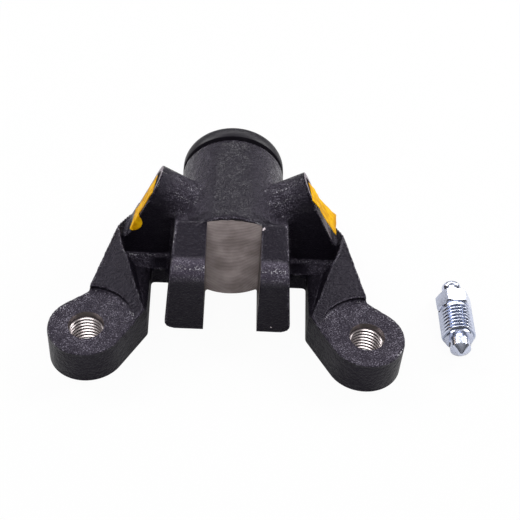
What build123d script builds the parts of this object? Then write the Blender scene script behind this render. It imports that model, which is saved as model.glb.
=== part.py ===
from build123d import *
import math
import os

# Driving dimensions in mm. X runs across the ears, Y along the bore to its open end, Z up from the
# mounting plane. The origin lies midway between the two mounting holes.

# Ears with their tapped mounting holes
hole_x = 47.4
hole_r = 5.3
hole_chamfer = 0.7
ear_r = 13.0
ear_t = 13.4

# Barrel, bore and closed end
axis_z = 19.3
barrel_r = 19.25
end_r = 18.7
end_y = 29.7
barrel_end_y = 72.1
bore_r = 14.29
floor_t = 10.3
mouth_chamfer = 0.8

# Spigot that carries the dust boot
spigot_r = 16.9
spigot_len = 8.1
bead_depth = 0.9
bead_w = 2.0
bead_from_mouth = 3.0
boot_gap = 2.5

# Abutment tabs and the slot between them
slot_half = 9.45
slot_shift = 0.95
tab_front_y = 12.0
tab_front_z = 29.5
tab_rear_z = 34.6
tab_shoulder_len = 1.5
tab_fall_y = 36.0
tab_fall_z = 30.0
tab_foot_x = 22.4
tab_top_x = 19.6
tab_nose_r = 2.6
tab_foot_r = 3.0

# Legs, flange and web
leg_corner_x = 27.7
leg_corner_y = 8.8
leg_inner_x = 28.5
leg_outer_x = 48.4
leg_outer_y = 16.0
rib_x = 38.6
rib_y = 58.0
rib_z = 18.5
relief_r = 16.3
flange_y = 34.4
flange_t = 7.2
web_y = 41.5
pocket_front_x = 33.6
pocket_front_y = 29.2
pocket_crest_x = 37.6
pocket_crest_y = 33.6
pocket_web_x = 40.0
slope_foot_y = 8.0
slope_foot_up = 0.6
rib_foot_up = 2.0
web_past_rib = 8.0

# Ports, rising from the bore line and swept back towards the open end
port_rise = 25.0
port_sweep = 8.0
port_y = 46.4
port_face = 32.2
boss_r = 8.3
tap_r = 5.3
tap_depth = 13.0
drill_r = 2.0
spot_r = 9.4
face_stock = 4.0

# Fits
running_gap = 0.05
seat_gap = 0.3

# Piston and its nose
piston_len = 19.5
piston_inset = 0.2
piston_chamfer = 0.6
nose_r = 8.5
nose_len = 8.0
nose_slot_w = 6.2
nose_slot_depth = 6.5
lip_groove_depth = 1.2
lip_groove_w = 2.4
lip_groove_from_end = 2.6

# Cup, expander and return spring
cup_len = 8.0
cup_floor_t = 3.0
cup_lip_t = 2.2
cup_flare = 0.7
expander_t = 1.4
expander_hub_r = 5.2
expander_hub_len = 3.0
wire_r = 0.7
coil_r = 7.0
coil_turns = 3.0
wire_sides = 6

# Dust boot
boot_band_t = 2.0
boot_band_len = 3.6
boot_shoulder = 2.6
boot_wall = 1.6
boot_seat_gap = 0.2
boot_lip_fit = 0.1
boot_fold_out = 3.6
boot_fold_slant = 1.2

# Bleeder screw, lying loose beside the casting with its cone towards the ears
bleeder_x = 81.6
bleeder_y = 33.2
bleeder_turn = -0.9
bleeder_r = 5.95
bleeder_thread_len = 14.2
bleeder_flats = 11.0
bleeder_hex_len = 6.3
bleeder_nipple_r = 3.4
bleeder_nipple_len = 6.1
bleeder_bulb_round = 0.8
bleeder_bulb_len = 2.2
bleeder_neck_r = 2.6
bleeder_neck_from = 3.4
bleeder_collar_r = 4.0
bleeder_collar_len = 1.6
bleeder_corner_cut = 0.6
bleeder_tip_r = 3.6
bleeder_tip_len = 4.2
bleeder_cone_len = 2.2
bleeder_cone_r = 1.3
bleeder_drill_r = 1.0

# Transit tapes over the port faces
tape_t = 0.45
tape_gap = 0.05
tape_w = 13.0
tape_up = 6.2
tape_down = 13.5
tape_curl_r = 4.5
tape_curl_turn = 62.0

# Stations that follow from the values above
floor_y = end_y + floor_t
mouth_y = barrel_end_y + spigot_len
piston_front_y = mouth_y - piston_inset
piston_rear_y = piston_front_y - piston_len
nose_end_y = piston_front_y + nose_len
cup_front_y = piston_rear_y - cup_len
boot_y = barrel_end_y + boot_gap
boot_r = spigot_r + boot_band_t
beyond_all = 4 * hole_x


def port_direction(side):
    """Unit vector out of a port; side is 1 for the right one and -1 for the left."""
    rise = math.radians(port_rise)
    sweep = math.radians(port_sweep)
    return Vector(side * math.cos(rise) * math.cos(sweep), math.cos(rise) * math.sin(sweep), math.sin(rise))


def port_plane(side, distance):
    """Plane square to a port; its local x axis points down the port face."""
    out = port_direction(side)
    along = out.cross(Vector(0, 1, 0)).normalized() * -side
    return Plane(origin=Vector(0, port_y, axis_z) + out * distance, x_dir=along, z_dir=out)


def tangent_point(px, py, hand):
    """Where a line from (px, py) touches the round of the right ear."""
    reach = math.hypot(hole_x - px, py)
    angle = math.atan2(-py, hole_x - px) + hand * math.asin(ear_r / reach)
    length = math.sqrt(reach**2 - ear_r**2)
    return px + length * math.cos(angle), py + length * math.sin(angle)


def turned(points):
    """Body of revolution about the bore line from (radius, y) points."""
    half = Plane(origin=(0, 0, axis_z)) * make_face(Polyline(*points, close=True))
    return revolve(half, Axis((0, 0, axis_z), (0, 1, 0)), 360)


def block(x0, x1, y0, y1, z0, z1):
    return Pos(x0, y0, z0) * Box(x1 - x0, y1 - y0, z1 - z0, align=(Align.MIN, Align.MIN, Align.MIN))


def ear_and_leg():
    """Right ear with the leg that carries it, its top rising to the rear rib."""
    ear = extrude(Pos(hole_x, 0) * Circle(ear_r), ear_t)
    front = tangent_point(leg_corner_x, leg_corner_y, -1)
    rear = tangent_point(leg_outer_x, leg_outer_y, 1)
    outline = Polyline(
        front,
        (hole_x, 0),
        rear,
        (leg_outer_x, leg_outer_y),
        (rib_x, rib_y),
        (leg_inner_x, rib_y),
        (leg_inner_x, flange_y),
        (leg_corner_x, leg_corner_y),
        close=True,
    )
    slope = Polyline(
        (-ear_r, 0),
        (-ear_r, ear_t),
        (0, ear_t),
        (leg_outer_y, ear_t + rib_foot_up),
        (rib_y, rib_z),
        (rib_y, 0),
        close=True,
    )
    side_view = extrude(Plane.YZ * make_face(slope), hole_x + 2 * ear_r)
    leg = extrude(make_face(outline), rib_z) & side_view
    rise = (pocket_front_x - leg_inner_x) / (pocket_front_y - slope_foot_y)
    fall = (ear_t - flange_t) / (flange_y - slope_foot_y)
    tilt = Vector(-fall / rise, fall, 1)
    foot = Plane(origin=(leg_inner_x, slope_foot_y, ear_t + slope_foot_up), z_dir=tilt)
    leg = leg - extrude(foot * Rectangle(beyond_all, beyond_all), ear_r)
    pocket = Polyline(
        (leg_inner_x - 1, flange_y),
        (leg_inner_x, flange_y),
        (pocket_front_x, pocket_front_y),
        (pocket_crest_x, pocket_crest_y),
        (pocket_web_x, web_y),
        (leg_inner_x - 1, web_y),
        close=True,
    )
    leg = leg - Pos(0, 0, flange_t) * extrude(make_face(pocket), ear_t)
    relief = Pos(hole_x, 0, ear_t) * Cylinder(relief_r, rib_z, align=(Align.CENTER, Align.CENTER, Align.MIN))
    return ear + (leg - relief)


def tab():
    """Right abutment tab: drafted outer face, top sloping down to a rounded nose."""
    section = Polyline((0, 0), (tab_foot_x, 0), (tab_top_x, tab_rear_z), (0, tab_rear_z), close=True)
    face = make_face(section)
    face = fillet(face.vertices().sort_by(Axis.X)[-1], tab_foot_r)
    bar = extrude(Plane.XZ * face, -(web_y + 1))
    nose_y = tab_front_y + tab_nose_r
    side = make_face(
        Polyline(
            (tab_front_y, 0),
            (tab_front_y, tab_front_z - tab_nose_r),
            (nose_y, tab_front_z),
            (end_y, tab_rear_z),
            (end_y + tab_shoulder_len, tab_rear_z),
            (tab_fall_y, tab_fall_z),
            (web_y + 1, tab_fall_z - tab_shoulder_len),
            (web_y + 1, 0),
            close=True,
        )
    )
    return bar & extrude(Plane.YZ * side, tab_foot_x)


def web_and_boss():
    """Right half of the transverse web with the port boss along its top."""
    out = port_direction(1)
    rough_len = port_face + face_stock
    tip_x = out.X * rough_len
    tip_z = axis_z + out.Z * rough_len
    foot_x = rib_x + web_past_rib
    wall = Polyline((0, 0), (foot_x, 0), (foot_x, ear_t), (tip_x, tip_z), (0, axis_z), close=True)
    web = Pos(0, rib_y, 0) * extrude(Plane.XZ * make_face(wall), rib_y - web_y)
    boss = extrude(port_plane(1, 0) * Circle(boss_r), rough_len)
    beyond = extrude(port_plane(1, port_face) * Rectangle(beyond_all, beyond_all), hole_x)
    front_x = leg_outer_x + (rib_x - leg_outer_x) * (web_y - leg_outer_y) / (rib_y - leg_outer_y)
    plan = Polyline((0, web_y), (front_x, web_y), (rib_x, rib_y), (0, rib_y), close=True)
    web = web & extrude(make_face(plan), 3 * axis_z)
    return (web + boss) - beyond


def port_cut(side):
    """Spot face, tapped hole and drilling of one port."""
    spot = extrude(port_plane(side, port_face) * Circle(spot_r), 2 * spot_r)
    tapped = extrude(port_plane(side, port_face - tap_depth) * Circle(tap_r), tap_depth + 1)
    drilled = extrude(port_plane(side, bore_r - drill_r) * Circle(drill_r), port_face - bore_r)
    return spot + tapped + drilled


def cylinder_body():
    """The one-piece casting: barrel, tabs, web, flange, legs and ears."""
    flange = block(0, leg_inner_x + 1, flange_y, rib_y, 0, flange_t)
    half = ear_and_leg() + flange + web_and_boss() + tab()
    barrel = turned([(0, end_y), (end_r, end_y), (barrel_r, barrel_end_y), (0, barrel_end_y)])
    groove_y = mouth_y - bead_from_mouth - bead_w
    spigot = turned(
        [
            (0, barrel_end_y - 1),
            (spigot_r, barrel_end_y - 1),
            (spigot_r, groove_y),
            (spigot_r - bead_depth, groove_y),
            (spigot_r - bead_depth, groove_y + bead_w),
            (spigot_r, groove_y + bead_w),
            (spigot_r, mouth_y),
            (0, mouth_y),
        ]
    )
    bore = turned(
        [
            (0, floor_y),
            (bore_r, floor_y),
            (bore_r, mouth_y - mouth_chamfer),
            (bore_r + mouth_chamfer, mouth_y),
            (bore_r + mouth_chamfer, mouth_y + 1),
            (0, mouth_y + 1),
        ]
    )
    slot = block(slot_shift - slot_half, slot_shift + slot_half, 0, flange_y, -1, 2 * axis_z)
    body = (half + mirror(half, about=Plane.YZ)) - slot
    body = body + barrel + spigot - bore
    for side in (-1, 1):
        body = body - port_cut(side)
        body = body - Pos(side * hole_x, 0, ear_t / 2) * Cylinder(hole_r, ear_t + hole_r)
        countersink = Cone(hole_r, hole_r + hole_chamfer, hole_chamfer)
        body = body - Pos(side * hole_x, 0, ear_t - hole_chamfer / 2) * countersink
    return body


def piston():
    """Piston with its slotted nose, a groove in the nose for the lip of the boot."""
    r = bore_r - running_gap
    groove_y = nose_end_y - lip_groove_from_end - lip_groove_w
    body = turned(
        [
            (0, piston_rear_y),
            (r - piston_chamfer, piston_rear_y),
            (r, piston_rear_y + piston_chamfer),
            (r, piston_front_y - piston_chamfer),
            (r - piston_chamfer, piston_front_y),
            (nose_r, piston_front_y),
            (nose_r, groove_y),
            (nose_r - lip_groove_depth, groove_y),
            (nose_r - lip_groove_depth, groove_y + lip_groove_w),
            (nose_r, groove_y + lip_groove_w),
            (nose_r, nose_end_y - piston_chamfer),
            (nose_r - piston_chamfer, nose_end_y),
            (0, nose_end_y),
        ]
    )
    half = nose_slot_w / 2
    slot = block(-half, half, nose_end_y - nose_slot_depth, nose_end_y + 1, 0, 2 * axis_z)
    return body - slot


def piston_cup():
    """Rubber cup seal, its lip facing the pressure side."""
    r = bore_r - running_gap
    floor = piston_rear_y - cup_floor_t
    return turned(
        [
            (0, piston_rear_y),
            (r - cup_flare, piston_rear_y),
            (r, cup_front_y + 1),
            (r - cup_flare, cup_front_y),
            (r - cup_lip_t + cup_flare, cup_front_y),
            (r - cup_lip_t - cup_flare, floor),
            (0, floor),
        ]
    )


def cup_expander():
    """Pressed disc that keeps the cup lip out; its hub centres the spring."""
    seat_y = piston_rear_y - cup_floor_t
    rim = bore_r - running_gap - cup_lip_t - cup_flare - seat_gap
    return turned(
        [
            (0, seat_y),
            (rim, seat_y),
            (rim, seat_y - expander_t),
            (expander_hub_r, seat_y - expander_t),
            (expander_hub_r - 1, seat_y - expander_t - expander_hub_len),
            (0, seat_y - expander_t - expander_hub_len),
        ]
    )


def return_spring():
    """Coil spring between the floor of the bore and the expander."""
    seat_y = piston_rear_y - cup_floor_t - expander_t
    length = seat_y - floor_y - 2 * wire_r
    path = Helix(length / coil_turns, length, coil_r)
    wire = sweep(Plane(origin=path @ 0, z_dir=path % 0) * RegularPolygon(wire_r, wire_sides), path=path)
    return Pos(0, floor_y + wire_r, axis_z) * Rot(-90, 0, 0) * wire


def dust_boot():
    """Rubber boot: band over the spigot, thin wall folding in to a lip on the piston nose."""
    groove_y = mouth_y - bead_from_mouth - bead_w
    shoulder_y = boot_y + boot_band_len
    wall_y = mouth_y + boot_seat_gap
    lip_y = nose_end_y - lip_groove_from_end - lip_groove_w + boot_lip_fit
    lip_end_y = lip_y + lip_groove_w - 2 * boot_lip_fit
    lip_r = nose_r - lip_groove_depth + running_gap
    fold_r = nose_r + boot_wall
    return turned(
        [
            (spigot_r, boot_y),
            (boot_r, boot_y),
            (boot_r, shoulder_y),
            (boot_r - boot_shoulder / 2, shoulder_y + boot_shoulder),
            (spigot_r - boot_wall / 2, wall_y + boot_wall),
            (fold_r + boot_fold_out, wall_y + boot_wall),
            (fold_r, lip_end_y),
            (lip_r, lip_end_y),
            (lip_r, lip_y),
            (fold_r - boot_wall / 2, lip_y),
            (fold_r + boot_fold_out - boot_fold_slant, wall_y),
            (spigot_r, wall_y),
            (spigot_r, groove_y + bead_w),
            (spigot_r - bead_depth, groove_y + bead_w),
            (spigot_r - bead_depth, groove_y),
            (spigot_r, groove_y),
        ]
    )


def bleeder_screw():
    """Hollow bleeder: nipple, hexagon, threaded shank, plain tip and sealing cone."""
    s1 = bleeder_nipple_len
    s2 = s1 + bleeder_hex_len
    s3 = s2 + bleeder_thread_len
    s4 = s3 + bleeder_tip_len
    s5 = s4 + bleeder_cone_len
    shape = Polyline(
        (0, 0),
        (bleeder_nipple_r - bleeder_bulb_round, 0),
        (bleeder_nipple_r, bleeder_bulb_round),
        (bleeder_nipple_r, bleeder_bulb_len),
        (bleeder_neck_r, bleeder_neck_from),
        (bleeder_neck_r, s1 - bleeder_collar_len),
        (bleeder_collar_r, s1),
        (bleeder_collar_r, s2),
        (bleeder_r - bleeder_corner_cut, s2),
        (bleeder_r, s2 + bleeder_corner_cut),
        (bleeder_r, s3 - bleeder_corner_cut),
        (bleeder_r - bleeder_corner_cut, s3),
        (bleeder_tip_r, s3),
        (bleeder_tip_r, s4),
        (bleeder_cone_r, s5),
        (0, s5),
        close=True,
    )
    turned_part = revolve(make_face(shape), Axis.Y, 360)
    hexagon = Plane.XZ * RegularPolygon(bleeder_flats / 2, 6, major_radius=False)
    nut = Pos(0, s1, 0) * extrude(hexagon, -bleeder_hex_len)
    corner = bleeder_flats / math.sqrt(3)
    crown = Polyline(
        (0, s1),
        (bleeder_flats / 2, s1),
        (corner, s1 + bleeder_corner_cut),
        (corner, s2 - bleeder_corner_cut),
        (bleeder_flats / 2, s2),
        (0, s2),
        close=True,
    )
    nut = nut & revolve(make_face(crown), Axis.Y, 360)
    cross_y = s3 + bleeder_tip_len / 2
    bore = Rot(-90, 0, 0) * Cylinder(bleeder_drill_r, cross_y, align=(Align.CENTER, Align.CENTER, Align.MIN))
    cross = Pos(0, cross_y, 0) * Cylinder(bleeder_drill_r, 3 * bleeder_tip_r)
    screw = (turned_part + nut) - bore - cross
    return Pos(bleeder_x, bleeder_y, bleeder_r) * Rot(0, 0, 180 + bleeder_turn) * screw


def curl_point(radius, angle):
    """Point on the curled end of a tape, in the tape's own side view."""
    return tape_down + radius * math.sin(angle), tape_curl_r - radius * math.cos(angle)


def port_tape(side):
    """Strip of tape over a port face, its lower end curling away from the casting."""
    turn = math.radians(tape_curl_turn)
    outer = tape_curl_r
    inner = tape_curl_r - tape_t
    outline = make_face(
        Line((-tape_up, 0), (tape_down, 0))
        + ThreePointArc((tape_down, 0), curl_point(outer, turn / 2), curl_point(outer, turn))
        + Line(curl_point(outer, turn), curl_point(inner, turn))
        + ThreePointArc(curl_point(inner, turn), curl_point(inner, turn / 2), (tape_down, tape_t))
        + Polyline((tape_down, tape_t), (-tape_up, tape_t), (-tape_up, 0))
    )
    base = port_plane(side, port_face + tape_gap)
    across = base.x_dir.cross(base.z_dir)
    sheet = Plane(origin=base.origin + across * (tape_w / 2), x_dir=base.x_dir, z_dir=across)
    return extrude(sheet * outline, -tape_w)


def parts():
    return {
        "cylinder_body": cylinder_body(),
        "piston": piston(),
        "piston_cup": piston_cup(),
        "cup_expander": cup_expander(),
        "return_spring": return_spring(),
        "dust_boot": dust_boot(),
        "bleeder_screw": bleeder_screw(),
        "port_tape_left": port_tape(-1),
        "port_tape_right": port_tape(1),
    }


os.makedirs("parts", exist_ok=True)
for name, solid in parts().items():
    box = solid.bounding_box()
    print(name, len(solid.solids()), round(solid.volume, 1), [round(v, 1) for v in (*box.min, *box.max)])
    export_step(solid, f"parts/{name}.step")
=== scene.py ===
import math

import bmesh
import bpy
from mathutils import Matrix, Vector, noise


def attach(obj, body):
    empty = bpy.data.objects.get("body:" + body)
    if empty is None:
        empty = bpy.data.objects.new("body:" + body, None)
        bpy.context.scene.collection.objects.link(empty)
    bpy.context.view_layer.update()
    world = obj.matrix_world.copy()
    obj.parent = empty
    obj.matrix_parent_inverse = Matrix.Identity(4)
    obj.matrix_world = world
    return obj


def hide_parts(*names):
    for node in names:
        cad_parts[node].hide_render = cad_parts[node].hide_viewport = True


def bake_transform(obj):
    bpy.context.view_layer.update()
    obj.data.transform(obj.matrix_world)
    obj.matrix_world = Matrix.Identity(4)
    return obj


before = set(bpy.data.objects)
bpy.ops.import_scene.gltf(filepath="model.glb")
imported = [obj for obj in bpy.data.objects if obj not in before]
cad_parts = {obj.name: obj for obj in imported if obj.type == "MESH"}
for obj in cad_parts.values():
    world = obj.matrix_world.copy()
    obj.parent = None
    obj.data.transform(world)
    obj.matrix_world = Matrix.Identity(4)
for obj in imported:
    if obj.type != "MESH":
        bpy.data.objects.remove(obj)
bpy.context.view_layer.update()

mm = 0.001


# The casting is one piece of grey iron from a sand mould, painted black. Its cast corners are soft and
# its skin is grainy. A cutter has then opened the slot, the port faces and the mounting holes, so their
# edges are crisp and their metal is bare.

barrel_z = 19.3 * mm
end_face_y = 29.7 * mm
end_face_r = 18.7 * mm
end_face_top = 30 * mm
slot_left = -8.5 * mm
slot_right = 10.4 * mm
tab_front_y = 12.0 * mm
tab_front_z = 29.5 * mm
tab_rear_z = 34.6 * mm
tab_nose_r = 2.6 * mm
hole_x = 47.4 * mm
ear_top = 13.4 * mm
thread_root = 6.0 * mm
port_start = Vector((0, 46.4 * mm, barrel_z))
port_face = 32.2 * mm
port_rise = math.radians(25)
port_sweep = math.radians(8)
port_hole_depth = 12.6 * mm
spot_depth = 0.35 * mm


def put_in_scene(name, data):
    made = bpy.data.objects.new(name, data)
    bpy.context.scene.collection.objects.link(made)
    return made


def finish_mesh(name, bm, smooth=True, recalculate=True):
    """Turns a bmesh into an object, and its faces outwards unless recalculate is off."""
    if recalculate:
        bmesh.ops.recalc_face_normals(bm, faces=bm.faces)
    mesh = bpy.data.meshes.new(name)
    bm.to_mesh(mesh)
    bm.free()
    for face in mesh.polygons:
        face.use_smooth = smooth
    return put_in_scene(name, mesh)


def port_out(side):
    flat = math.cos(port_rise)
    return Vector((side * flat * math.cos(port_sweep), flat * math.sin(port_sweep), math.sin(port_rise)))


def port_frame(side, distance):
    """Axes on a port: x down the face, y towards the ears, z out of the port. One side is a mirror image."""
    out = port_out(side)
    down = out.cross(Vector((0, 1, 0))).normalized() * -side
    front = -Vector((0, 1, 0)).project(out.cross(down)).normalized()
    turn = Matrix((down, front, out)).transposed().to_4x4()
    return Matrix.Translation(port_start + out * distance) @ turn


def set_metal(verts, metal):
    for face in {f for v in verts for f in v.link_faces}:
        face.material_index = metal


def add_bar(bm, start, direction, radius, length, segments=96, metal=0):
    """A round bar from start along direction."""
    direction = Vector(direction).normalized()
    place = Matrix.Translation(Vector(start) + direction * length / 2)
    turn = direction.to_track_quat("Z", "Y").to_matrix().to_4x4()
    made = bmesh.ops.create_cone(
        bm,
        cap_ends=True,
        segments=segments,
        radius1=radius,
        radius2=radius,
        depth=length,
        matrix=place @ turn,
    )
    set_metal(made["verts"], metal)


def add_box(bm, low, high, metal=0):
    """A box between two opposite corners."""
    low, high = Vector(low), Vector(high)
    verts = bmesh.ops.create_cube(bm, size=1.0)["verts"]
    bmesh.ops.scale(bm, verts=verts, vec=high - low)
    bmesh.ops.translate(bm, verts=verts, vec=(low + high) / 2)
    set_metal(verts, metal)
    return verts


def baked(piece):
    """Replaces a piece by the mesh that its modifiers make."""
    graph = bpy.context.evaluated_depsgraph_get()
    mesh = bpy.data.meshes.new_from_object(piece.evaluated_get(graph))
    name = piece.name
    bpy.data.objects.remove(piece)
    mesh.name = name
    return put_in_scene(name, mesh)


# As it leaves the mould: the holes and the slot are closed, and the faces to be cut carry spare metal.
ear_plug_r = thread_root + 0.6 * mm
port_plug_r = thread_root - 0.2 * mm
port_plug = 14 * mm
spare_below = 3 * mm
tab_zone_x = 25 * mm
tab_zone_y = 31 * mm
spare_y = end_face_y - 4 * mm
spare_depth = 4.4 * mm
overlap = 0.1 * mm
slot_plug_side = 3 * mm

blank = bmesh.new()
blank.from_mesh(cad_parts["cylinder_body"].data)
bmesh.ops.remove_doubles(blank, verts=blank.verts, dist=0.002 * mm)
for side in (-1, 1):
    add_bar(blank, (side * hole_x, 0, 0), (0, 0, 1), ear_plug_r, ear_top)
    plug_start = port_start + port_out(side) * (port_face - port_plug)
    add_bar(blank, plug_start, port_out(side), port_plug_r, port_plug)
for vert in blank.verts:
    clear_of_tabs = vert.co.y > tab_zone_y or abs(vert.co.x) > tab_zone_x
    if clear_of_tabs and vert.co.z < 0.01 * mm:
        vert.co.z -= spare_below

disc = bmesh.new()
add_bar(disc, (0, spare_y, barrel_z), (0, 1, 0), end_face_r, spare_depth)
halved = bmesh.ops.bisect_plane(
    disc,
    geom=disc.verts[:] + disc.edges[:] + disc.faces[:],
    plane_co=(0, 0, end_face_top),
    plane_no=(0, 0, 1),
    clear_outer=True,
)
open_edges = [e for e in halved["geom_cut"] if isinstance(e, bmesh.types.BMEdge)]
bmesh.ops.contextual_create(disc, geom=open_edges)
disc_mesh = bpy.data.meshes.new("spare_metal")
disc.to_mesh(disc_mesh)
disc.free()
blank.from_mesh(disc_mesh)
bpy.data.meshes.remove(disc_mesh)

tab_profile = [
    (tab_front_y, 0),
    (tab_front_y, tab_front_z - tab_nose_r),
    (tab_front_y + tab_nose_r, tab_front_z),
    (end_face_y, tab_rear_z),
    (end_face_y, end_face_top - overlap),
    (spare_y + overlap, end_face_top - overlap),
    (spare_y + overlap, 0),
]
corners = [blank.verts.new((slot_left - slot_plug_side, y, z)) for y, z in tab_profile]
plug = bmesh.ops.extrude_face_region(blank, geom=[blank.faces.new(corners)])
moved = [v for v in plug["geom"] if isinstance(v, bmesh.types.BMVert)]
bmesh.ops.translate(blank, verts=moved, vec=(slot_right - slot_left + 2 * slot_plug_side, 0, 0))
casting = finish_mesh("casting", blank)

# Soft sand-cast corners all over, and rounder ones at the roots of the bosses and on the tabs' noses.
# Those lie in boxes told by two corners, in millimetres and the same to both sides of the middle.
skin_cell = 0.55 * mm
boss_roots = ((9, 38, 24), (25, 60, 50))
tab_noses = ((-1, -20, 25), (25, 17.5, 50))


def in_box(point, low, high):
    return all(a < value < b for value, a, b in zip(point, low, high))


skin = casting.modifiers.new("skin", "REMESH")
skin.mode = "VOXEL"
skin.voxel_size = skin_cell
skin.use_smooth_shade = True
soften = casting.modifiers.new("soft_corners", "SMOOTH")
soften.factor = 0.5
soften.iterations = 6
casting = baked(casting)
rounded = casting.vertex_groups.new(name="rounded")
for vert in casting.data.vertices:
    point = Vector((abs(vert.co.x), vert.co.y, vert.co.z)) / mm
    if in_box(point, *boss_roots) or in_box(point, *tab_noses):
        rounded.add([vert.index], 1.0, "REPLACE")
round_off = casting.modifiers.new("round_off", "SMOOTH")
round_off.factor = 0.5
round_off.iterations = 24
round_off.vertex_group = "rounded"
casting = baked(casting)


def add_node(tree, kind, **values):
    """A shader node with its properties set by name and its input sockets by 'in_' and their name."""
    node = tree.nodes.new(kind)
    for key, value in values.items():
        if key.startswith("in_"):
            node.inputs[key[3:].replace("_", " ")].default_value = value
        else:
            setattr(node, key, value)
    return node


def join(tree, *pairs):
    for source, target in pairs:
        tree.links.new(source, target)


def math_node(tree, operation, first, second=0.0, third=None, clamp=False):
    """A Math node: numbers are set and sockets are linked."""
    node = add_node(tree, "ShaderNodeMath", operation=operation, use_clamp=clamp)
    for socket, value in zip(node.inputs, (first, second, third)):
        if value is None:
            continue
        if isinstance(value, (int, float)):
            socket.default_value = value
        else:
            tree.links.new(value, socket)
    return node.outputs[0]


def step_up(tree, value, low, high):
    """0 below low, 1 above high, smooth between."""
    node = add_node(tree, "ShaderNodeMapRange", interpolation_type="SMOOTHSTEP")
    node.inputs["From Min"].default_value = low
    node.inputs["From Max"].default_value = high
    tree.links.new(value, node.inputs["Value"])
    return node.outputs["Result"]


def step_down(tree, value, low, high):
    return math_node(tree, "SUBTRACT", 1.0, step_up(tree, value, low, high))


def all_of(tree, mask, *others):
    for other in others:
        mask = math_node(tree, "MULTIPLY", mask, other)
    return mask


def any_of(tree, mask, *others):
    for other in others:
        mask = math_node(tree, "MAXIMUM", mask, other)
    return mask


def add_noise(tree, place, scale, detail):
    node = add_node(tree, "ShaderNodeTexNoise", in_Scale=scale, in_Detail=detail)
    join(tree, (place, node.inputs["Vector"]))
    return node.outputs["Fac"]


def mix_colors(tree, amount, first, second):
    """Blends two colours, each a tuple or a socket. The node has other sockets of the same names."""
    node = add_node(tree, "ShaderNodeMix", data_type="RGBA")
    join(tree, (amount, node.inputs[0]))
    for socket, color in ((node.inputs[6], first), (node.inputs[7], second)):
        if isinstance(color, tuple):
            socket.default_value = (*color, 1)
        else:
            tree.links.new(color, socket)
    return node.outputs[2]


# The grain of a sand-cast skin: lumps, sand and pits as a height, and specks where sand lies dense, which
# the paint shows as pale painted glints and a glossy coat.
sand_share = 0.6
pit_share = 0.6
cluster_share = 0.3
cast_grain = bpy.data.node_groups.new("cast_grain", "ShaderNodeTree")
for name, kind, way in (
    ("Vector", "NodeSocketVector", "INPUT"),
    ("Grain", "NodeSocketFloat", "INPUT"),
    ("Height", "NodeSocketFloat", "OUTPUT"),
    ("Specks", "NodeSocketFloat", "OUTPUT"),
):
    cast_grain.interface.new_socket(name=name, in_out=way, socket_type=kind)
source = cast_grain.nodes.new("NodeGroupInput")
target = cast_grain.nodes.new("NodeGroupOutput")
place, amount = source.outputs["Vector"], source.outputs["Grain"]
lumps = add_noise(cast_grain, place, 480.0, 3.0)
sand = add_noise(cast_grain, place, 2100.0, 2.0)
clusters = add_noise(cast_grain, place, 330.0, 2.0)
pits = add_node(cast_grain, "ShaderNodeTexVoronoi", in_Scale=1100.0, feature="SMOOTH_F1")
join(cast_grain, (place, pits.inputs["Vector"]))
relief = math_node(cast_grain, "MULTIPLY_ADD", sand, sand_share, lumps)
relief = math_node(cast_grain, "MULTIPLY_ADD", pits.outputs["Distance"], pit_share, relief)
strength = math_node(cast_grain, "MULTIPLY_ADD", amount, 0.8, 0.2)
dense = math_node(cast_grain, "MULTIPLY_ADD", clusters, cluster_share, sand)
specks = math_node(cast_grain, "MULTIPLY", step_up(cast_grain, dense, 0.70, 0.80), amount)
relief = math_node(cast_grain, "MULTIPLY", relief, strength)
join(cast_grain, (relief, target.inputs["Height"]), (specks, target.inputs["Specks"]))


def new_finish(name, color, rough, metal=0.0):
    """A material with its Principled shader and its place on the object."""
    made = bpy.data.materials.new(name)
    made.use_nodes = True
    shader = made.node_tree.nodes["Principled BSDF"]
    shader.inputs["Base Color"].default_value = (*color, 1)
    shader.inputs["Roughness"].default_value = rough
    shader.inputs["Metallic"].default_value = metal
    place = made.node_tree.nodes.new("ShaderNodeTexCoord").outputs["Object"]
    return made, made.node_tree, shader, place


def vary_color(tree, shader, amount, first, second):
    join(tree, (mix_colors(tree, amount, first, second), shader.inputs["Base Color"]))


def vary_roughness(tree, shader, amount, swing, least):
    join(tree, (math_node(tree, "MULTIPLY_ADD", amount, swing, least), shader.inputs["Roughness"]))


def add_bump(tree, shader, height, depth):
    bump = add_node(tree, "ShaderNodeBump", in_Strength=1.0, in_Distance=depth)
    join(tree, (height, bump.inputs["Height"]), (bump.outputs["Normal"], shader.inputs["Normal"]))


# Black paint over the sand-cast skin: grainy on ear tops, boss roots and soft corners, calmer elsewhere.
# Each pair below is where a stretch of rough skin fades in or out.
facing_up = (0.5, 0.9)
ear_side = (26 * mm, 31 * mm)
ear_skin = (ear_top + 0.2 * mm, ear_top + 0.8 * mm)
tab_side = (23 * mm, 24 * mm)
nose_rear = (tab_front_y + 3.8 * mm, tab_front_y + 5.8 * mm)
nose_foot = (22 * mm, tab_front_z - 2.7 * mm)
root_inner = (4 * mm, 14 * mm)
root_outer = (17 * mm, 27 * mm)
root_front = (34 * mm, 36 * mm)
root_foot = (23.5 * mm, 27 * mm)
outer_corner = (0.508, 0.535)
inner_corner = (0.455, 0.492)
paint_black = (0.0045, 0.0036, 0.0062)
# The chalky colour is the rough skin's own dull tone and, on the rounded tab noses, painted sheen where they
# catch the light.
paint_chalky_sheen = (0.038, 0.032, 0.046)
# The pale speck colour is painted glint: it stands in for light caught by the grainy paint and along outer
# corners.
glint_pale = (0.13, 0.118, 0.15)
chip_metal = (0.6, 0.53, 0.56)
slot_chip = (Vector((10.7, 28.9, 34.0)) * mm, 0.55 * mm)
foot_chip = (Vector((15.4, 12.0, 2.6)) * mm, 0.2 * mm)
chip_fray = 2.4 * mm
chip_core = 1.0 * mm
chip_rim = 1.3 * mm

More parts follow.
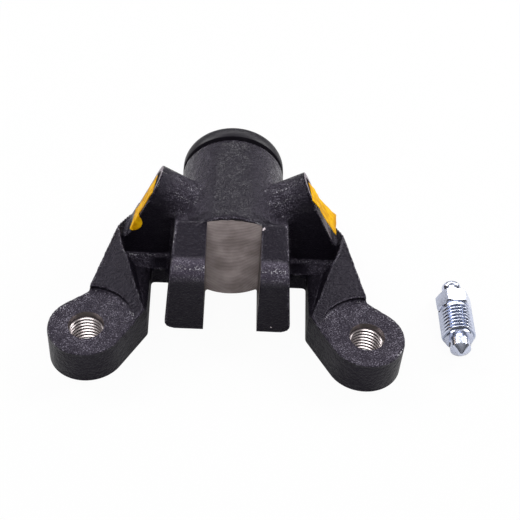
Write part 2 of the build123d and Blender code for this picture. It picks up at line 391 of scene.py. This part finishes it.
black_paint, tree, shader, place = new_finish("black_paint", (0.012, 0.0105, 0.0145), 0.5)
shader.inputs["Specular IOR Level"].default_value = 0.18
shader.inputs["Specular Tint"].default_value = (0.86, 0.78, 1.0, 1)
shader.inputs["Coat Roughness"].default_value = 0.12
axes = add_node(tree, "ShaderNodeSeparateXYZ")
facing = add_node(tree, "ShaderNodeSeparateXYZ")
surface = tree.nodes.new("ShaderNodeNewGeometry")
join(tree, (place, axes.inputs[0]), (surface.outputs["Normal"], facing.inputs[0]))
from_middle = math_node(tree, "ABSOLUTE", axes.outputs["X"])
along, height = axes.outputs["Y"], axes.outputs["Z"]
rough_ear = all_of(
    tree,
    step_up(tree, from_middle, *ear_side),
    step_up(tree, facing.outputs["Z"], *facing_up),
    step_down(tree, height, *ear_skin),
)
# The tab noses: grainy, and lightened as painted sheen on their rounded fronts.
nose_grain_and_sheen = all_of(
    tree,
    step_down(tree, from_middle, *tab_side),
    step_down(tree, along, *nose_rear),
    step_up(tree, height, *nose_foot),
)
rough_root = all_of(
    tree,
    step_up(tree, from_middle, *root_inner),
    step_down(tree, from_middle, *root_outer),
    step_up(tree, along, *root_front),
    step_up(tree, height, *root_foot),
)
rough_spots = any_of(
    tree,
    step_up(tree, surface.outputs["Pointiness"], *outer_corner),
    step_down(tree, surface.outputs["Pointiness"], *inner_corner),
    rough_ear,
    nose_grain_and_sheen,
    math_node(tree, "MULTIPLY", rough_root, 0.8),
)
grain = add_node(tree, "ShaderNodeGroup", node_tree=cast_grain)
amount = math_node(tree, "MULTIPLY_ADD", rough_spots, 0.75, 0.25, clamp=True)
join(tree, (place, grain.inputs["Vector"]), (amount, grain.inputs["Grain"]))
# Painted sheen and chalky tone: the tab noses are lightened fully, as the light they catch, and the rough
# skin a little, as its own dull tone.
chalk_and_sheen = any_of(tree, nose_grain_and_sheen, math_node(tree, "MULTIPLY", rough_spots, 0.35))
# Painted glints: pale specks on the grain, densest on rough skin and outer corners, stand in for glints off
# the grain and the bright rims of edges.
painted_glints = math_node(tree, "MULTIPLY_ADD", rough_spots, 0.8, 0.12)
painted_glints = math_node(tree, "MULTIPLY", grain.outputs["Specks"], painted_glints, clamp=True)
painted = mix_colors(tree, painted_glints, mix_colors(tree, chalk_and_sheen, paint_black, paint_chalky_sheen), glint_pale)
ragged_edge = add_noise(tree, place, 900.0, 2.0)
chips = []
for spot, reach in (slot_chip, foot_chip):
    apart = add_node(tree, "ShaderNodeVectorMath", operation="DISTANCE")
    apart.inputs[1].default_value = spot
    join(tree, (place, apart.inputs[0]))
    ragged = math_node(tree, "MULTIPLY_ADD", ragged_edge, chip_fray, apart.outputs["Value"])
    chips.append(step_down(tree, ragged, reach + chip_core, reach + chip_rim))
vary_color(tree, shader, any_of(tree, *chips), painted, chip_metal)
vary_roughness(tree, shader, add_noise(tree, place, 260.0, 4.0), 0.3, 0.2)
join(tree, (math_node(tree, "MULTIPLY", grain.outputs["Specks"], 0.9), shader.inputs["Coat Weight"]))
add_bump(tree, shader, grain.outputs["Height"], 0.9 * mm)

# Milled iron at the foot of the slot, with the arcs that the cutter left.
arc_middle_x = 1.0 * mm
arc_middle_z = -6.0 * mm
arc_spacing = 0.7 * mm
arc_wander = 0.6 * mm
milled_iron, tree, shader, place = new_finish("milled_iron", (0.3, 0.26, 0.25), 0.45, 0.35)
axes = add_node(tree, "ShaderNodeSeparateXYZ")
join(tree, (place, axes.inputs[0]))
sideways = math_node(tree, "SUBTRACT", axes.outputs["X"], arc_middle_x)
upwards = math_node(tree, "SUBTRACT", axes.outputs["Z"], arc_middle_z)
squares = math_node(tree, "MULTIPLY_ADD", sideways, sideways, math_node(tree, "MULTIPLY", upwards, upwards))
radius = math_node(tree, "SQRT", squares)
wavy = math_node(tree, "MULTIPLY_ADD", add_noise(tree, place, 220.0, 3.0), arc_wander, radius)
arcs = math_node(tree, "SINE", math_node(tree, "MULTIPLY", wavy, 2 * math.pi / arc_spacing))
patches = step_up(tree, add_noise(tree, place, 130.0, 3.0), 0.3, 0.7)
shade = math_node(tree, "MULTIPLY_ADD", patches, 0.55, 0.2)
shade = math_node(tree, "MULTIPLY_ADD", arcs, 0.2, shade, clamp=True)
vary_color(tree, shader, shade, (0.15, 0.12, 0.115), (0.46, 0.39, 0.385))
add_bump(tree, shader, arcs, 0.05 * mm)

# Walls of the slot, sawn, in a dark colour.
slot_wall, tree, shader, place = new_finish("slot_wall", (0.05, 0.042, 0.045), 0.4, 0.6)
stretch = add_node(tree, "ShaderNodeMapping")
stretch.inputs["Scale"].default_value = (1, 1, 0.08)
join(tree, (place, stretch.inputs["Vector"]))
strokes = add_noise(tree, stretch.outputs[0], 900.0, 2.0)
vary_color(tree, shader, strokes, (0.03, 0.025, 0.028), (0.12, 0.1, 0.1))
add_bump(tree, shader, strokes, 0.05 * mm)

# Bare turned metal in the threads.
bare_iron, tree, shader, place = new_finish("bare_iron", (0.5, 0.45, 0.45), 0.3, 0.95)
tarnish = add_noise(tree, place, 500.0, 3.0)
vary_color(tree, shader, tarnish, (0.3, 0.26, 0.26), (0.62, 0.56, 0.56))
vary_roughness(tree, shader, tarnish, 0.25, 0.2)

# Faced iron on the ports, dulled by handling.
faced_iron, tree, shader, place = new_finish("faced_iron", (0.2, 0.165, 0.19), 0.5, 0.6)
vary_color(tree, shader, add_noise(tree, place, 400.0, 3.0), (0.13, 0.105, 0.125), (0.3, 0.255, 0.29))

# The cuts: the slot, the mounting holes and the port holes, then the port faces and the underside.
overrun = 10 * mm
hole_overrun = 1 * mm
port_overrun = 1.4 * mm
hole_play = 0.03 * mm
cut_top = 50 * mm
plate_up, plate_down, plate_half, plate_t = 9 * mm, 16 * mm, 20 * mm, 6 * mm
base_half = 75 * mm
base_middle_y = 30 * mm
milled, sawn, bored = range(3)
faced, painted_over = range(2)

cuts = bmesh.new()
slot_low = (slot_left, -overrun, -overrun)
slot_box = add_box(cuts, slot_low, (slot_right, end_face_y, cut_top), metal=sawn)
for face in {f for v in slot_box for f in v.link_faces}:
    if face.calc_center_median().y > end_face_y - mm:
        face.material_index = milled
for side in (-1, 1):
    ear_start = (side * hole_x, 0, -hole_overrun)
    add_bar(cuts, ear_start, (0, 0, 1), thread_root + hole_play, ear_top + 2 * hole_overrun, metal=bored)
    port_floor = port_start + port_out(side) * (port_face - port_hole_depth)
    add_bar(cuts, port_floor, port_out(side), thread_root, port_hole_depth + port_overrun, metal=bored)
hole_cutter = finish_mesh("cuts", cuts, smooth=False)
for finish in (milled_iron, slot_wall, bare_iron):
    hole_cutter.data.materials.append(finish)
faces = bmesh.new()
for side in (-1, 1):
    plate_low = (-plate_up, -plate_half, -spot_depth)
    plate = add_box(faces, plate_low, (plate_down, plate_half, plate_t - spot_depth), metal=faced)
    bmesh.ops.transform(faces, matrix=port_frame(side, port_face), verts=plate)
base_low = (-base_half, base_middle_y - base_half, -overrun)
add_box(faces, base_low, (base_half, base_middle_y + base_half, 0), metal=painted_over)
face_cutter = finish_mesh("facing_cuts", faces, smooth=False)
for finish in (faced_iron, black_paint):
    face_cutter.data.materials.append(finish)
casting.data.materials.clear()
casting.data.materials.append(black_paint)
for tool in (face_cutter, hole_cutter):
    cut = casting.modifiers.new(tool.name, "BOOLEAN")
    cut.operation = "DIFFERENCE"
    cut.solver = "EXACT"
    cut.material_mode = "TRANSFER"
    cut.object = tool
casting = baked(casting)
for tool in (face_cutter, hole_cutter):
    bpy.data.objects.remove(tool)
casting.data.set_sharp_from_angle(angle=math.radians(38))
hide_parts("cylinder_body")
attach(casting, "casting")


# Threads of the two mounting holes, cut M12 x 1.5 right through the ears, and of the two ports. The
# crests are bare metal, and the roots carry a dark colour, painted shade in the grooves.

thread_crest = 5.35 * mm
thread_pitch = 1.5 * mm
thread_inset = 0.3 * mm
port_thread_depth = 12.4 * mm
port_thread_len = 12 * mm


def add_thread(bm, root, crest, length, start, segments=48):
    """A helical groove round the Z axis, from start upwards. Material 1 lies on its root."""
    middle = (root + crest) / 2
    outline = [(0.0, root), (0.38, crest), (0.54, crest), (0.7, middle), (0.9, root), (1.0, root)]
    verts = [bm.verts.new((radius, 0, start + share * thread_pitch)) for share, radius in outline]
    edges = [bm.edges.new(pair) for pair in zip(verts, verts[1:])]
    turns = int(length / thread_pitch) - 1
    bmesh.ops.spin(
        bm,
        geom=verts + edges,
        cent=(0, 0, 0),
        axis=(0, 0, 1),
        dvec=(0, 0, thread_pitch / segments),
        angle=2 * math.pi * turns,
        steps=segments * turns,
    )
    for face in bm.faces:
        radius = face.calc_center_median().xy.length
        face.material_index = int(abs(radius - root) < abs(radius - crest))
    bmesh.ops.remove_doubles(bm, verts=bm.verts, dist=0.005 * mm)


# Dark colour for the thread roots: painted shade in the grooves.
painted_thread_shade, tree, shader, place = new_finish("painted_thread_shade", (0.035, 0.026, 0.028), 0.5, 0.3)
for side, name in ((-1, "left"), (1, "right")):
    for where, matrix, length in (
        ("ear", Matrix.Translation((side * hole_x, 0, 0)), ear_top),
        ("port", port_frame(side, port_face - port_thread_depth), port_thread_len),
    ):
        bm = bmesh.new()
        add_thread(bm, thread_root, thread_crest, length - 2 * thread_inset, start=thread_inset)
        bmesh.ops.transform(bm, matrix=matrix, verts=bm.verts)
        if matrix.determinant() < 0:
            bmesh.ops.reverse_faces(bm, faces=bm.faces)
        thread = finish_mesh(f"{where}_thread_{name}", bm, recalculate=False)
        thread.data.materials.append(bare_iron)
        thread.data.materials.append(painted_thread_shade)
        thread.data.set_sharp_from_angle(angle=math.radians(30))
        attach(thread, "casting")


# The dust boot is moulded black rubber. Its band grips the spigot at the casting's mouth and its thin
# wall folds in to a lip that sits in the groove of the piston's nose. Its outline is in millimetres.

boot_r, boot_bore_r = 19.2, 16.9
band_start, band_end, mouth = 74.4, 77.6, 80.4
shoulder_in, shoulder_front = 15.7, 81.9
lip_r, lip_rear, lip_front = 7.4, 83.1, 85.2
wall_front, wall_rear = 82.0, 81.2


def spin_outline(bm, points, centre, axis, steps, closed=False):
    """Spins an outline of points a full turn round an axis."""
    verts = [bm.verts.new(point) for point in points]
    pairs = list(zip(verts, verts[1:]))
    if closed:
        pairs.append((verts[-1], verts[0]))
    edges = [bm.edges.new(pair) for pair in pairs]
    bmesh.ops.spin(
        bm,
        geom=verts + edges,
        cent=centre,
        axis=axis,
        angle=2 * math.pi,
        steps=steps,
        use_merge=True,
    )


band = [(boot_bore_r, band_start), (boot_r - 0.15, band_start), (boot_r, band_start + 0.2)]
shoulder = [
    (
        shoulder_in + (boot_r - shoulder_in) * math.cos(turn),
        band_end + (shoulder_front - band_end) * math.sin(turn),
    )
    for turn in (math.radians(9 * step) for step in range(11))
]
fold_outside = [(13.9, wall_front), (12.9, 82.5), (12.0, 83.3), (11.2, 84.2), (10.3, 85.0), (9.2, lip_front)]
lip = [(lip_r, lip_front), (lip_r, lip_rear)]
fold_inside = [(9.4, lip_rear), (10.4, 82.2), (11.6, 81.5), (12.8, wall_rear), (14.7, wall_rear)]
boot_outline = band + shoulder + fold_outside + lip + fold_inside + [(boot_bore_r, mouth)]
bm = bmesh.new()
boot_points = [(r * mm, y * mm, barrel_z) for r, y in boot_outline]
spin_outline(bm, boot_points, (0, 0, barrel_z), (0, 1, 0), 128, closed=True)
boot = finish_mesh("dust_boot_rubber", bm)
boot.data.set_sharp_from_angle(angle=math.radians(50))
boot_rubber, tree, shader, place = new_finish("boot_rubber", (0.012, 0.0115, 0.0135), 0.42)
shader.inputs["Specular IOR Level"].default_value = 0.2
bloom = add_noise(tree, place, 180.0, 4.0)
vary_color(tree, shader, bloom, (0.006, 0.005, 0.008), (0.012, 0.0105, 0.015))
vary_roughness(tree, shader, bloom, 0.2, 0.33)
boot.data.materials.append(boot_rubber)
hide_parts("dust_boot")
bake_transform(boot)


# The bleeder screw is turned from hexagon steel bar and zinc plated: nipple for the bleed hose, hexagon,
# M12 thread, plain tip with the cross hole, and the cone that seals in the port. It lies on its side,
# and its outlines are in millimetres from the nipple's end.

screw_end = Vector((81.6, 33.2, 5.95)) * mm
screw_turn = math.radians(-0.9)
hex_start, hex_end, thread_end, tip_end, cone_end = 6.1, 12.4, 26.6, 30.8, 33.0
hex_half, hex_corner_r, hex_face_r, hex_chamfer = 5.5, 6.35, 5.2, 0.7
core_r, tip_r, seat_r = 5.0, 3.6, 0.5
screw_root, screw_crest = 5.05 * mm, 5.95 * mm
cross_hole_r, cross_hole_from_tip = 0.9, 2.1
lying = Matrix.Rotation(-math.pi / 2, 4, "X")
turned = Matrix.Rotation(math.pi + screw_turn, 4, "Z")
screw_place = Matrix.Translation(screw_end) @ turned @ lying

zinc, tree, shader, place = new_finish("zinc_plate", (0.6, 0.64, 0.78), 0.16, 1.0)
cloud = add_noise(tree, place, 350.0, 3.0)
vary_color(tree, shader, cloud, (0.6, 0.64, 0.78), (0.74, 0.78, 0.94))
vary_roughness(tree, shader, cloud, 0.2, 0.1)
# Darker zinc for the roots of the bleeder's thread: painted shade in its grooves.
zinc_root_shade, tree, shader, place = new_finish("zinc_root_shade", (0.34, 0.38, 0.5), 0.2, 1.0)
painted_hole_shade, tree, shader, place = new_finish("cross_hole_painted_shade", (0.03, 0.03, 0.035), 0.6)


def turned_part(outline):
    bm = bmesh.new()
    spin_outline(bm, [(r * mm, 0, z * mm) for r, z in outline], (0, 0, 0), (0, 0, 1), 96)
    bmesh.ops.remove_doubles(bm, verts=bm.verts, dist=0.003 * mm)
    return bm


def place_screw_part(name, bm, sharp, metal=zinc, recalculate=True):
    bmesh.ops.transform(bm, matrix=screw_place, verts=bm.verts)
    part = finish_mesh(name, bm, recalculate=recalculate)
    part.data.materials.append(metal)
    part.data.set_sharp_from_angle(angle=math.radians(sharp))
    return part


nipple_outline = [
    (0, 2.0), (1.0, 2.0), (1.0, 0), (2.5, 0), (3.0, 0.25), (3.4, 0.9), (3.4, 2.0), (3.1, 2.7), (2.6, 3.2),
    (2.6, 4.2), (2.9, 5.2), (3.6, 5.9), (4.2, hex_start), (4.2, hex_start + 0.5), (0, hex_start + 0.5),
]
nipple_part = place_screw_part("bleeder_nipple", turned_part(nipple_outline), 40)

bar = bmesh.new()
bar_r = hex_half * mm / math.cos(math.pi / 6)
add_bar(bar, (0, 0, hex_start * mm), (0, 0, 1), bar_r, (hex_end - hex_start) * mm, segments=6)
bmesh.ops.rotate(bar, verts=bar.verts, cent=(0, 0, 0), matrix=Matrix.Rotation(math.radians(30), 3, "Z"))
hexagon = place_screw_part("bleeder_hexagon", bar, 20)
crown_outline = [
    (0, hex_start),
    (hex_face_r, hex_start),
    (hex_corner_r, hex_start + hex_chamfer),
    (hex_corner_r, hex_end - hex_chamfer),
    (hex_face_r, hex_end),
    (0, hex_end),
]
crown = place_screw_part("crown", turned_part(crown_outline), 20)
trim = hexagon.modifiers.new("crown", "BOOLEAN")
trim.operation = "INTERSECT"
trim.solver = "EXACT"
trim.object = crown
hexagon = baked(hexagon)
hexagon.data.set_sharp_from_angle(angle=math.radians(20))
bpy.data.objects.remove(crown)

shank_outline = [
    (0, hex_end),
    (core_r, hex_end),
    (core_r, thread_end - 0.4),
    (core_r - 0.1, thread_end - 0.2),
    (tip_r, thread_end - 0.1),
    (tip_r, tip_end - 0.1),
    (tip_r - 0.1, tip_end),
    (seat_r, cone_end),
    (0, cone_end),
]
shank_part = place_screw_part("bleeder_shank", turned_part(shank_outline), 30)

bm = bmesh.new()
thread_start = (hex_end + 0.2) * mm
add_thread(bm, screw_root, screw_crest, (thread_end - hex_end + 0.2) * mm, start=thread_start, segments=64)
bmesh.ops.reverse_faces(bm, faces=bm.faces)
screw_thread = place_screw_part("bleeder_thread", bm, 30, recalculate=False)
screw_thread.data.materials.append(zinc_root_shade)

# The cross hole is not cut: a dark bar through the tip is painted shade where the hole would be dark.
bm = bmesh.new()
hole_half = (tip_r + 0.02) * mm
hole_start = (-hole_half, 0, (tip_end - cross_hole_from_tip) * mm)
add_bar(bm, hole_start, (1, 0, 0), cross_hole_r * mm, 2 * hole_half, segments=32)
cross_hole = place_screw_part("bleeder_hole_shade", bm, 30, metal=painted_hole_shade)
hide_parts("bleeder_screw")
for part in (nipple_part, hexagon, shank_part, screw_thread, cross_hole):
    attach(part, "bleeder")


# The transit tapes are short strips of yellow paper tape pressed over the port faces by hand. The left
# one has a lobe folded over the front edge of its boss, and the right one lifts and curls at its lower end.

tape_t = 0.25 * mm
tape_rear, tape_front, boss_edge = -2.5 * mm, 8.0 * mm, 8.6 * mm
tape_start, tape_end, lobe_start = -3.4 * mm, 15.5 * mm, 8.0 * mm
lobe_width = 3.4 * mm
fold_gap = 0.3 * mm
rest_lift = 0.25 * mm
crumple = 0.15 * mm
crumple_scale = 420
loose_lift, loose_length = 0.9 * mm, 4 * mm
curl_height, curl_start, curl_power = 3.0 * mm, 4 * mm, 1.3

yellow_tape, tree, shader, place = new_finish("yellow_tape", (0.7, 0.4, 0.0), 0.65)
shader.inputs["Specular IOR Level"].default_value = 0.08
# The tape's colour follows its crease relief, darker where the relief is low: painted shade in its creases.
crease_and_shade = add_noise(tree, place, 320.0, 4.0)
vary_color(tree, shader, step_up(tree, crease_and_shade, 0.35, 0.65), (0.46, 0.21, 0.0), (0.68, 0.38, 0.002))
add_bump(tree, shader, crease_and_shade, 0.12 * mm)


def folded_point(along, forward):
    """Across and lift of the left tape: past the boss's edge its lobe hangs down."""
    past = max(0.0, along - lobe_start) / (tape_end - lobe_start)
    lobe = math.sqrt(math.sin(math.pi * (0.02 + 0.96 * past))) if past else 0.0
    across = tape_rear + forward * (tape_front - tape_rear + lobe_width * lobe)
    if across > boss_edge:
        return boss_edge + fold_gap, boss_edge - across
    return across, 0.0


def curled_point(along, forward):
    """Across and lift of the right tape: it stands off the face and curls up at its lower rear corner."""
    curl = max(0.0, (along - curl_start) / (tape_end - curl_start))
    loose = loose_lift * min(1.0, (along - tape_start) / loose_length)
    raised = curl_height * curl**curl_power * (1 - 0.6 * forward)
    return tape_rear + forward * (tape_front - tape_rear), loose + raised


for side, name, shaped in ((-1, "left", folded_point), (1, "right", curled_point)):
    bm = bmesh.new()
    grid = bmesh.ops.create_grid(bm, x_segments=72, y_segments=40, size=0.5)["verts"]
    for vert in grid:
        along = tape_start + (vert.co.x + 0.5) * (tape_end - tape_start)
        forward = vert.co.y + 0.5
        crumpled = crumple * noise.noise(Vector((along, forward * 0.01, side * 0.01)) * crumple_scale)
        across, lift = shaped(along, forward)
        vert.co = (along, across, rest_lift + crumpled + lift)
    bmesh.ops.transform(bm, matrix=port_frame(side, port_face - spot_depth), verts=bm.verts)
    strip = finish_mesh(f"tape_{name}", bm, recalculate=False)
    paper = strip.modifiers.new("paper", "SOLIDIFY")
    paper.thickness = tape_t
    paper.offset = 1.0
    strip.data.materials.append(yellow_tape)
    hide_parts(f"port_tape_{name}")
    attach(strip, f"tape_{name}")


# The parts in the bore: ground steel piston, rubber cup, pressed expander and the coil spring behind it.
# They keep the meshes of the solids, because almost nothing of them is seen.

for node, color, rough, metal, lines in (
    ("piston", (0.5, 0.5, 0.51), 0.28, 1.0, 700.0),
    ("piston_cup", (0.015, 0.015, 0.016), 0.4, 0.0, 300.0),
    ("cup_expander", (0.45, 0.4, 0.3), 0.35, 1.0, 500.0),
    ("return_spring", (0.35, 0.35, 0.36), 0.35, 1.0, 900.0),
):
    finish, tree, shader, place = new_finish(f"{node}_finish", color, rough, metal)
    wear = add_noise(tree, place, lines, 3.0)
    vary_roughness(tree, shader, wear, 0.25, rough - 0.12)
    add_bump(tree, shader, wear, 0.01 * mm)
    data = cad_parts[node].data
    data.materials.clear()
    data.materials.append(finish)


# The studio: a plain white table and backdrop, a soft light in front and above, a long one behind that
# shines off the tops, and one at each side.

table_drop = 0.03 * mm
bm = bmesh.new()
bmesh.ops.create_grid(bm, x_segments=1, y_segments=1, size=3.0)
bmesh.ops.translate(bm, verts=bm.verts, vec=(0, 0, -table_drop))
table_top = finish_mesh("table_top", bm, smooth=False, recalculate=False)
table_paper, tree, shader, place = new_finish("table_paper", (0.5, 0.5, 0.5), 0.9)
seen = tree.nodes.new("ShaderNodeLightPath")
white = add_node(tree, "ShaderNodeEmission")
blend = tree.nodes.new("ShaderNodeMixShader")
join(
    tree,
    (math_node(tree, "MULTIPLY", seen.outputs["Is Camera Ray"], 0.95), blend.inputs[0]),
    (shader.outputs[0], blend.inputs[1]),
    (white.outputs[0], blend.inputs[2]),
    (blend.outputs[0], tree.nodes["Material Output"].inputs["Surface"]),
)
table_top.data.materials.append(table_paper)

studio = bpy.data.worlds.new("studio")
bpy.context.scene.world = studio
studio.use_nodes = True
tree = studio.node_tree
backdrop = tree.nodes["Background"]
backdrop.inputs["Color"].default_value = (1, 1, 1, 1)
seen = tree.nodes.new("ShaderNodeLightPath")
direction = tree.nodes.new("ShaderNodeTexCoord")
skyward = add_node(tree, "ShaderNodeSeparateXYZ")
join(tree, (direction.outputs["Generated"], skyward.inputs[0]))
room = math_node(tree, "MULTIPLY_ADD", step_up(tree, skyward.outputs["Z"], 0.1, 0.9), 0.32, 0.1)
join(tree, (any_of(tree, seen.outputs["Is Camera Ray"], room), backdrop.inputs["Strength"]))


def soft_light(name, place, aim, size, power):
    data = bpy.data.lights.new(name, "AREA")
    data.shape = "RECTANGLE"
    data.size, data.size_y = size
    data.energy = power
    lamp = put_in_scene(name, data)
    lamp.location = place
    lamp.rotation_mode = "QUATERNION"
    lamp.rotation_quaternion = (Vector(aim) - Vector(place)).to_track_quat("-Z", "Y")


soft_light("overhead", (0.0, -0.34, 0.56), (0, 0.03, 0), (0.56, 0.26), 3.2)
soft_light("far_window", (0.0, 0.68, 0.56), (0, 0.03, 0), (0.9, 0.14), 3.4)
soft_light("left_side", (-0.48, 0.3, 0.4), (0, 0.04, 0.01), (0.22, 0.4), 2.6)
soft_light("right_side", (0.52, 0.3, 0.4), (0, 0.04, 0.01), (0.22, 0.4), 3.6)


# The camera looks down at the ears and the closed end from in front, a little turned and tilted, as in
# the photograph.

elevation, heading, roll = math.radians(44.27), math.radians(2.91), math.radians(4.56)
distance = 390 * mm
aim = Vector((11.56, 48.55, 0)) * mm
flat = math.cos(elevation)
look = Vector((math.sin(heading) * flat, math.cos(heading) * flat, -math.sin(elevation)))
level = Vector((math.cos(heading), -math.sin(heading), 0))
upright = level.cross(look)
right = level * math.cos(roll) + upright * math.sin(roll)
up = upright * math.cos(roll) - level * math.sin(roll)
lens = bpy.data.cameras.new("camera")
lens.sensor_width = 36
lens.lens = 71.0
camera = put_in_scene("camera", lens)
turn = Matrix((right, up, -look)).transposed().to_4x4()
camera.matrix_world = Matrix.Translation(aim - look * distance) @ turn
bpy.context.scene.camera = camera
bpy.context.scene.view_settings.view_transform = "Standard"
